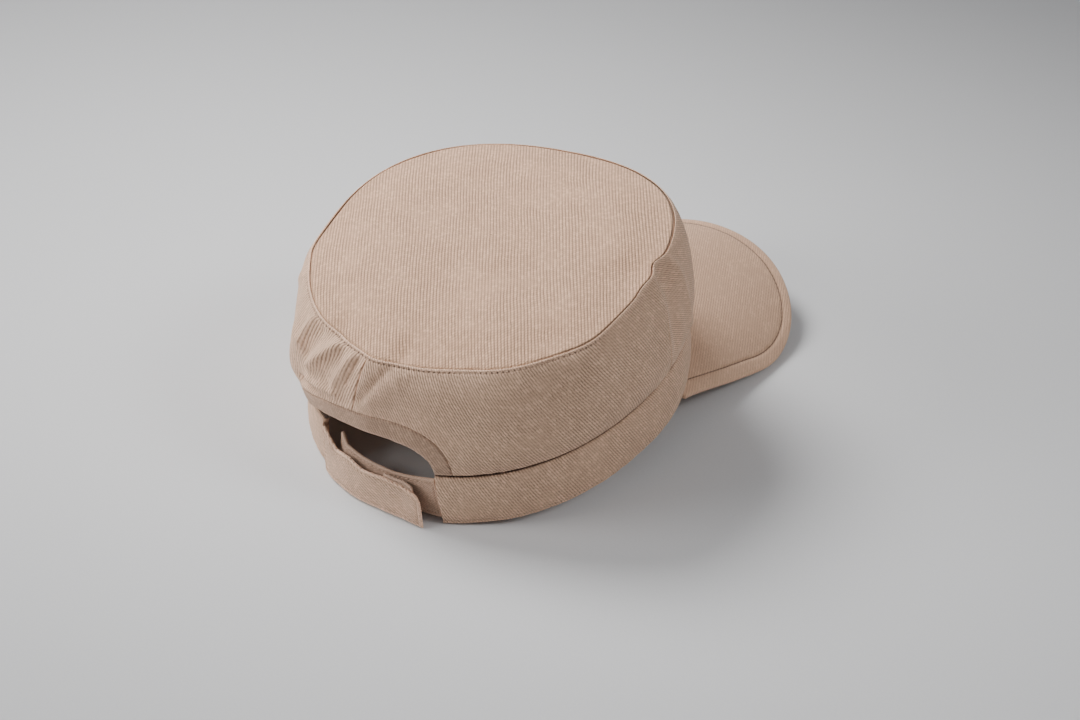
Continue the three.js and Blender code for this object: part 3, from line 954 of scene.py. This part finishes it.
def wall_panel(name, cad_node, from_angle, to_angle, rib_angle, material, seed):
    """A panel of the side wall between two seams. Returns its grid and where its rows lie."""
    reach = (to_angle(0.5) - from_angle(0.5)) / DEGREES_PER_MM
    columns = close_steps(reach, CLOTH_STEP) / reach
    rows = close_steps(WALL_HEIGHT, CLOTH_STEP) / WALL_HEIGHT
    across, up = np.meshgrid(columns, rows, indexing="ij")
    angle = mix(from_angle(up), to_angle(up), across)
    turn = signed_turn(angle)
    half_angle = FACING_HALF_ANGLE - FACING_TUCK * DEGREES_PER_MM
    cut_height = FACING_HEIGHT - FACING_TUCK
    cut = arch_rise(turn, half_angle, cut_height) / wall_height(angle)
    share = mix(cut, 1, up)
    height = share * wall_height(angle)
    face = wall_face(angle, share)
    run = angle / DEGREES_PER_MM
    below_top = wall_height(angle) - height
    line_angle = np.linspace(from_angle(0.0) - 1, to_angle(0.0) + 1, 700)
    line_height = arch_rise(signed_turn(line_angle), half_angle, cut_height)
    above_low = np.full(angle.shape, FAR_AWAY)
    for spot_angle, spot_height in zip(line_angle, line_height):
        apart = np.hypot(run - spot_angle / DEGREES_PER_MM, height - spot_height)
        above_low = np.minimum(above_low, apart)
    above_low[:, 0] = 0
    sides = np.minimum(across, 1 - across) * reach
    edge = np.minimum(np.minimum(below_top, above_low), sides)
    edge[:, -1] = 0
    edge[0, :] = 0
    edge[-1, :] = 0
    near_arch = ramp(line_height.max() * (cut > 0.001), 0.5, 1)
    thickness = mix(PANEL_THICK, FACING_EDGE_THICK, near_arch * ramp(above_low, 6, 2))
    roll = mix(ROLL_THICK, ROLL_THICK_FRONT, ramp(np.abs(turn), *ROLL_THINS))
    thickness = np.minimum(thickness, mix(roll, PANEL_THICK, ramp(below_top, 1, 5)))
    calm = ramp(below_top, 0, 5) * ramp(above_low, 0, 6)
    relief = FOLD_DEEPER * fold_relief(turn, height) * calm
    back_left = ramp(turn, *LIVELY_FROM) * ramp(turn, *LIVELY_UNTIL)
    lively = mix(0.35, 1, back_left)
    sewn = ramp(turn, *SEWN_FROM) * ramp(turn, *SEWN_UNTIL)
    from_crest = ramp(below_top, 0.4, 3)
    wrinkles = soft_noise(run / 2.6 + height / 9, height / 14, seed)
    fine = mix(1, 0.6, ramp(turn, *FINER_FROM))
    relief += 0.3 * lively * fine * wrinkles * np.exp(-below_top / 6) * from_crest
    creases = soft_noise(run / 4.6 + height / 14, height / 30, seed + 1)
    relief += 0.2 * back_left * creases * ramp(below_top, 0, 6) * ramp(above_low, 0, 5)
    relief += 0.2 * soft_noise(run / 3, height / 8, seed + 2) * np.exp(-above_low / 3)
    relief += 0.45 * soft_noise(run / 24, height / 20, seed + 3) * calm
    relief -= 0.4 * sewn * bump(below_top - SEAM_STITCH_BELOW, 0.45)
    at_band = cut <= 0.001
    relief -= 0.8 * at_band * bump(height, 0.9)
    rounding = np.where(at_band & (height < 3), SEAM_ROUNDING, thickness / 2)
    cloth = rib_lines(run + 0.2 * relief, height, rib_angle, below_top)
    # Near the band the line is the seam to it, and a run of 0 leaves out its needle holes
    low_seam = at_band & (height < 6)
    sewing = np.stack([
        np.where(low_seam, 0, run),
        np.where(low_seam, height, below_top - SEAM_STITCH_BELOW),
        np.where(low_seam, LOW_SEAM_SHADE, sewn),
    ], -1)
    towards = outward(angle)
    piece, outer, normals = shell(
        name, face, towards, thickness, edge, rounding, relief,
        cloth, sewing, material,
    )
    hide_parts(cad_node)
    return outer, normals, columns, rows, turn, above_low, cut


def arch_facing():
    """Brushed strip round the arched opening."""
    width_rows = close_steps(FACING_WIDTH, CLOTH_STEP) / FACING_WIDTH
    sweep_steps = close_steps(FACING_SWEEP, CLOTH_STEP) / FACING_SWEEP
    across, up = np.meshgrid(sweep_steps, width_rows, indexing="ij")
    sweep = np.pi * across
    power = 2 / ARCH_ROUNDNESS
    along = np.abs(np.cos(sweep)) ** power * np.sign(np.cos(sweep))
    rise = np.abs(np.sin(sweep)) ** power
    stretch = np.where(along < 0, ARCH_LEFT_STRETCH, 1)
    angle = ARCH_MIDDLE + mix(ARCH_HALF_ANGLE, FACING_HALF_ANGLE, up) * along * stretch
    height = mix(ARCH_HEIGHT, FACING_HEIGHT, up) * rise * arch_lean(along)
    share = height / wall_height(angle)
    towards = outward(angle)
    inset = mix(FACING_FLUSH, FACING_INSET, ramp(up * FACING_WIDTH, 8.2, 9))
    face = wall_face(angle, share) - towards * inset[..., None]
    ends = np.minimum(across, 1 - across) * FACING_SWEEP
    edge = np.minimum(np.minimum(up, 1 - up) * FACING_WIDTH, ends)
    run = across * FACING_SWEEP
    relief = fold_relief(angle, height) * 0.5 * ramp(height, 2, 8)
    relief += 0.2 * soft_noise(run / 4, up * 2, 31)
    relief += 0.25 * soft_noise(run / 14, up, 32)
    cloth = rib_lines(angle / DEGREES_PER_MM, height, RIBS_RIGHT, edge)
    sewing = np.stack([run, up * 0 + FAR_AWAY, up * 0], -1)
    piece, _, _ = shell(
        "facing_strip", face, towards, FACING_THICK, edge, 1, relief,
        cloth, sewing, facing_cloth,
    )
    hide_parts("arch_facing")


def headband():
    """Band round the head, open at the back."""
    reach = (360 + OPENING_LEFT_LOW - OPENING_RIGHT_LOW) / DEGREES_PER_MM
    columns = close_steps(reach, CLOTH_STEP * 1.1) / reach
    rows = close_steps(BAND_HEIGHT_BACK, CLOTH_STEP) / BAND_HEIGHT_BACK
    across, up = np.meshgrid(columns, rows, indexing="ij")
    from_angle = mix(OPENING_RIGHT_LOW, OPENING_RIGHT_HIGH, up)
    to_angle = 360 + mix(OPENING_LEFT_LOW, OPENING_LEFT_HIGH, up)
    angle = mix(from_angle, to_angle, across)
    out = BAND_BULGE * np.sin(np.pi * up) - BAND_TAPER * up
    full = mix(BAND_HEIGHT_BACK, BAND_HEIGHT_FRONT, front_share(angle))
    full = full - LEFT_END_DROP * ramp(angle, *LEFT_END_DROP_OVER)
    height = up * full
    face = polar(angle, band_radius(angle) + out, band_low_edge(angle) + height)
    run = angle / DEGREES_PER_MM
    ends = np.minimum(across, 1 - across) * reach
    edge = np.minimum(np.minimum(height, full - height), ends)
    edge[:, -1] = 0
    edge[0, :] = 0
    edge[-1, :] = 0
    relief = -0.4 * bump(height - BAND_STITCH_ABOVE, 0.5)
    relief += 0.24 * soft_noise(run / 2.6, height / 7, 41) * np.exp(-np.abs(height - 2) / 4)
    relief += 0.22 * soft_noise(run / 3, height / 6, 42) * np.exp(-(full - height) / 3)
    relief += 0.35 * soft_noise(run / 22, height / 16, 43)
    relief -= LEFT_END_SINK * ramp(angle, *LEFT_END_SINK_OVER)
    relief -= 0.7 * bump(full - height, 0.9)
    rounding = mix(BAND_THICK / 2, SEAM_ROUNDING, ramp(height, 8, 12))
    cloth = rib_lines(run, height, RIBS_RIGHT, height)
    # Near the wall the line is the seam to it, as on the wall
    high_seam = full - height < 6
    sewing = np.stack([
        np.where(high_seam, 0, run),
        np.where(high_seam, full - height, height - BAND_STITCH_ABOVE),
        np.where(high_seam, LOW_SEAM_SHADE, 0.6),
    ], -1)
    towards = outward(angle)
    piece, outer, normals = shell(
        "head_band", face, towards, BAND_THICK, edge, rounding, relief,
        cloth, sewing, band_cloth,
    )
    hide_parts("headband")
    return outer, normals, columns, rows


def peak_edge_height(x, y):
    aside = np.minimum(1, np.abs(x) / PEAK_HALF_WIDTH)
    arch = mix(PEAK_TIP_HEIGHT, PEAK_SIDE_HEIGHT, aside**2)
    corner = polar(PEAK_CORNER_ANGLE, band_radius(PEAK_CORNER_ANGLE), 0.0)
    climb = np.maximum(0, (y - PEAK_CLIMB_Y) / (corner[1] - PEAK_CLIMB_Y))
    rise = band_low_edge(PEAK_CORNER_ANGLE) - SEAM_GAP - PEAK_SIDE_HEIGHT
    return arch + rise * climb**PEAK_CLIMB_POWER


def peak_outline(count):
    """Outer edge of one half of the peak from its tip back to the band, evenly spaced."""
    corner = polar(PEAK_CORNER_ANGLE, band_radius(PEAK_CORNER_ANGLE) + 1, 0.0)
    power = 2 / PEAK_ROUNDNESS
    sweep = np.linspace(0, np.pi / 2, 200)
    bend_x = PEAK_HALF_WIDTH * np.sin(sweep) ** power
    bend_y = PEAK_SIDE_END_Y + (PEAK_TIP_Y - PEAK_SIDE_END_Y) * np.abs(np.cos(sweep)) ** power
    share = np.linspace(0, 1, 60)[1:]
    side_x = mix(PEAK_HALF_WIDTH, -corner[0], share**2)
    side_y = mix(PEAK_SIDE_END_Y, corner[1], share)
    x = np.concatenate([bend_x, side_x])
    y = np.concatenate([bend_y, side_y])
    along = np.concatenate([[0], np.cumsum(np.hypot(np.diff(x), np.diff(y)))])
    places = np.linspace(0, along[-1], count)
    return np.interp(places, along, x), np.interp(places, along, y)


def peak():
    """Stiff arched peak with a topstitched rim."""
    half_x, half_y = peak_outline(PEAK_HALF_COUNT + 1)
    edge_x = np.concatenate([half_x[:0:-1], -half_x])
    edge_y = np.concatenate([half_y[:0:-1], half_y])
    place = np.linspace(-1, 1, 2 * PEAK_HALF_COUNT + 1)
    rows = close_steps(PEAK_DEPTH, PEAK_STEP) / PEAK_DEPTH
    place_grid, up = np.meshgrid(place, rows, indexing="ij")
    angle = 180 + (PEAK_CORNER_ANGLE - 180) * place_grid
    inner = polar(angle, band_radius(angle) - PEAK_TUCK, band_low_edge(angle) - SEAM_GAP)
    outer_x = edge_x[:, None] + 0 * up
    outer_y = edge_y[:, None] + 0 * up
    outer_z = peak_edge_height(outer_x, outer_y)
    tip_share = (PEAK_SIDE_END_Y - outer_y) / (PEAK_SIDE_END_Y - PEAK_TIP_Y)
    outer_x = outer_x + PEAK_SKEW * np.clip(tip_share, 0, 1)
    outer = np.stack([outer_x, outer_y, outer_z], -1)
    face = inner + (outer - inner) * up[..., None]
    face[..., 2] += PEAK_CROWN * np.sin(np.pi * up) * (1 - place_grid**2)
    rim = face[:, -1]
    edge = np.full(up.shape, FAR_AWAY)
    for spot in rim:
        edge = np.minimum(edge, np.linalg.norm(face - spot, axis=-1))
    edge[:, -1] = 0
    free = edge.copy()
    free[0, :] = 0
    free[-1, :] = 0
    free[:, 0] = 0
    near_band = np.linalg.norm(face - inner, axis=-1)
    rounded = np.minimum(free, near_band)
    steps = np.linalg.norm(np.diff(rim, axis=0), axis=1)
    run = np.cumsum(np.concatenate([[0], steps]))[:, None] + 0 * up
    inset = mix(PEAK_RIM, PEAK_RIM_RIGHT, ramp(place_grid, 0.4, 0.65))
    from_line = edge - inset
    relief = -0.5 * bump(from_line, 0.65)
    relief += 0.3 * ramp(from_line, 0, -2.5)
    relief += 0.12 * soft_noise(run / 3, edge / 5, 51) * bump(from_line, 4)
    relief += 0.25 * soft_noise(face[..., 0] / 24, face[..., 1] / 24, 52)
    rib_x, rib_y = PEAK_RIBS_ALONG
    along_ribs = face[..., 0] * rib_x + face[..., 1] * rib_y
    across_ribs = face[..., 1] * rib_x - face[..., 0] * rib_y
    cloth = np.stack([across_ribs, along_ribs, edge], -1)
    sewing = np.stack([run, from_line, 0 * run + 1], -1)
    piece, outer_grid, normals = shell(
        "peak_cover", face, (0, 0, 1), PEAK_THICK, rounded, PEAK_THICK / 2, relief,
        cloth, sewing, peak_cloth,
    )
    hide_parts("peak")
    return outer_grid, normals, from_line


def course_value(course, column, share):
    values = [row[column] for row in course]
    return np.interp(share * (len(course) - 1), np.arange(len(course)), values)


def strap(name, cad_node, course, thickness, corner, material, seed, flare=0.0):
    """A strap that follows its course round the back. flare pushes its lower edge out."""
    reach = abs(course[-1]["angle"] - course[0]["angle"]) / DEGREES_PER_MM
    columns = close_steps(reach, CLOTH_STEP) / reach
    rows = close_steps(STRAP_WIDTH, CLOTH_STEP) / STRAP_WIDTH
    across, up = np.meshgrid(columns, rows, indexing="ij")
    width = up * STRAP_WIDTH
    into_corner = np.clip(width - (STRAP_WIDTH - corner), 0, corner)
    trim = corner - np.sqrt(corner**2 - into_corner**2)
    across = across * (1 - trim / reach)
    low_angle, lean, off, low, high = (
        course_value(course, column, across) for column in ("angle", "lean", "off", "low", "high")
    )
    angle = low_angle + lean * up
    radius = band_radius(angle) - BAND_TAPER * up + off
    radius += flare * (1 - 2 * up)
    height = mix(low, high, up)
    face = polar(angle, radius, height)
    run = across * reach
    sides = np.minimum(columns, 1 - columns)[:, None] * reach
    edge = np.minimum(np.minimum(up, 1 - up) * STRAP_WIDTH, sides)
    relief = -0.3 * bump(edge - STRAP_STITCH_INSIDE, 0.5)
    relief += 0.14 * soft_noise(run / 2.6, height / 4, seed) * np.exp(-edge / 3)
    relief += 0.3 * soft_noise(run / 16, height / 14, seed + 1)
    cloth = rib_lines(run, width, RIBS_STRAP, edge)
    sewing = np.stack([run, edge - STRAP_STITCH_INSIDE, 0 * run + 0.4], -1)
    towards = outward(angle)
    piece, outer, normals = shell(
        name, face, towards, thickness, edge, thickness / 2, relief,
        cloth, sewing, material,
    )
    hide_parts(cad_node)
    return outer, normals, edge


def border_line(outer, normals, edge, inside):
    """The line at one distance inside three sides of a strap, leaving out its root."""
    count, rows = edge.shape
    lines = []
    row_low = np.interp(inside, edge[count // 2, : rows // 2], np.arange(rows // 2))
    row_high = rows - 1 - row_low
    last = np.interp(inside, edge[:, rows // 2][::-1][: count // 2], np.arange(count // 2))
    last_column = count - 1 - last
    low_columns = np.linspace(2, last_column, 120)
    lines.append(line_on(outer, normals, low_columns, np.full(120, row_low)))
    end_rows = np.linspace(row_low, row_high, 40)
    lines.append(line_on(outer, normals, np.full(40, last_column), end_rows))
    lines.append(line_on(outer, normals, low_columns[::-1], np.full(120, row_high)))
    return lines


def build_cap():
    top_panel()
    right = wall_panel(
        "crown_right", "side_panel_right", back_seam_angle, right_seam_angle,
        RIBS_RIGHT, right_cloth, 11,
    )
    wall_panel(
        "crown_front", "front_panel", right_seam_angle, left_seam_angle,
        RIBS_FRONT, front_cloth, 15,
    )
    left = wall_panel(
        "crown_left", "side_panel_left", left_seam_angle,
        lambda share: 360 + back_seam_angle(share), RIBS_LEFT, left_cloth, 19,
    )
    arch_facing()
    band = headband()
    peak_piece = peak()
    tab = strap(
        "closing_tab", "strap_tab", TAB_COURSE, TAB_THICK, TAB_CORNER, tab_cloth,
        61, flare=TAB_FLARE,
    )
    base = strap(
        "closing_base", "strap_base", BASE_COURSE, TAB_THICK, BASE_CORNER, base_cloth,
        65,
    )
    strap(
        "closing_hooks", "hook_tape", TAPE_COURSE, TAPE_THICK, TAPE_CORNER, tape_cloth,
        69,
    )
    sew(right, left, band, peak_piece, tab, base)


def sew(right, left, band, peak_piece, tab, base):
    """Rows of stitches on the pieces."""
    lines = []
    arch_lines = []
    for outer, normals, columns, rows, turn, above_low, cut in (right, left):
        row = np.interp(1 - SEAM_STITCH_BELOW / WALL_HEIGHT, rows, np.arange(len(rows)))
        shown = (turn[:, -1] > STITCHES_SHOWN[0]) & (turn[:, -1] < STITCHES_SHOWN[1])
        numbers = np.arange(len(columns))[shown][2:-2]
        lines.append(line_on(outer, normals, numbers, np.full(len(numbers), row)))
        over_arch = np.arange(len(columns))[cut[:, 0] > 0.02][1:-1]
        near = np.arange(len(rows) // 2)
        heights = [
            np.interp(ARCH_STITCH_ABOVE, above_low[i, : len(near)], near) for i in over_arch
        ]
        arch_lines.append(line_on(outer, normals, over_arch, np.array(heights)))
    stitches("arch_stitches", arch_lines, thread, "arch")
    stitches("seam_stitches", lines, thread, "seam")
    outer, normals, columns, rows = band
    row = np.interp(BAND_STITCH_ABOVE / BAND_HEIGHT_BACK, rows, np.arange(len(rows)))
    numbers = np.arange(3, len(columns) - 3)
    line = line_on(outer, normals, numbers, np.full(len(numbers), row))
    stitches("band_stitches", [line], thread, "band")
    grid, normals, from_line = peak_piece
    rows = np.arange(from_line.shape[1])
    crossings = [np.interp(0, -column, rows) for column in from_line]
    reached = from_line.max(axis=1) > 1
    numbers = np.arange(from_line.shape[0])[reached]
    line = line_on(grid, normals, numbers, np.array(crossings)[reached])
    stitches("peak_stitches", [line], peak_thread, "peak")
    stitches("tab_stitches", border_line(*tab, STRAP_STITCH_INSIDE), thread, "strap")
    stitches("base_stitches", border_line(*base, STRAP_STITCH_INSIDE), thread, "strap")


# Surroundings
FLOOR_DARK = (0.60, 0.60, 0.605, 1)
FLOOR_PALE = (0.64, 0.64, 0.645, 1)
FLOOR_HALF_SIDE = 6
WORLD_COLOUR = (0.95, 0.96, 1.0, 1)
WORLD_STRENGTH = 0.26


def floor_material():
    material, tree, shader = new_material("pale_floor")
    place = node(tree, "ShaderNodeTexCoord").outputs["Object"]
    grain = node(tree, "ShaderNodeTexNoise", {}, {"Vector": place, "Scale": 900.0, "Detail": 2.0})
    tone = blend_colours(tree, grain.outputs["Fac"], FLOOR_DARK, FLOOR_PALE)
    tree.links.new(tone, shader.inputs["Base Color"])
    shader.inputs["Roughness"].default_value = 0.9
    shader.inputs["Specular IOR Level"].default_value = 0.1
    return material


def add_floor():
    size = FLOOR_HALF_SIDE
    mesh = bpy.data.meshes.new("floor")
    corners = [(-size, -size, 0), (size, -size, 0), (size, size, 0), (-size, size, 0)]
    mesh.from_pydata(corners, [], [(0, 1, 2, 3)])
    mesh.materials.append(floor_material())
    floor = bpy.data.objects.new("floor", mesh)
    bpy.context.scene.collection.objects.link(floor)


def in_frame(point):
    return Vector(((point[0] + HEAD_X) * MM, (point[1] + HEAD_Y) * MM, point[2] * MM))


def bearing(azimuth, elevation):
    a = math.radians(azimuth)
    e = math.radians(elevation)
    return Vector((math.sin(a) * math.cos(e), -math.cos(a) * math.cos(e), math.sin(e)))


def add_light(name, kind, turn, rise, distance, power, aside, settings):
    lamp = bpy.data.lights.new(name, kind)
    lamp.energy = power
    for key, value in settings.items():
        setattr(lamp, key, value)
    light = bpy.data.objects.new(name, lamp)
    towards = bearing(CAMERA_AZIMUTH + turn, rise)
    target = in_frame(CAMERA_TARGET) + bearing(CAMERA_AZIMUTH + LIGHTS[0]["turn"], 0) * aside
    light.location = target + towards * distance
    light.rotation_euler = towards.to_track_quat("Z", "Y").to_euler()
    bpy.context.scene.collection.objects.link(light)


def add_lights():
    """A soft key light from behind on the left, a fill from the right and a weak side light."""
    for row in LIGHTS:
        add_light(**row)
    world = bpy.data.worlds.new("studio")
    world.use_nodes = True
    background = world.node_tree.nodes["Background"]
    background.inputs["Color"].default_value = WORLD_COLOUR
    background.inputs["Strength"].default_value = WORLD_STRENGTH
    bpy.context.scene.world = world


def add_camera():
    lens = bpy.data.cameras.new("camera")
    lens.lens = CAMERA_LENS
    lens.sensor_width = CAMERA_SENSOR
    camera = bpy.data.objects.new("camera", lens)
    towards = bearing(CAMERA_AZIMUTH, CAMERA_ELEVATION)
    camera.location = in_frame(CAMERA_TARGET) + towards * CAMERA_DISTANCE * MM
    camera.rotation_euler = towards.to_track_quat("Z", "Y").to_euler()
    bpy.context.scene.collection.objects.link(camera)
    bpy.context.scene.camera = camera


build_cap()
add_floor()
add_lights()
add_camera()
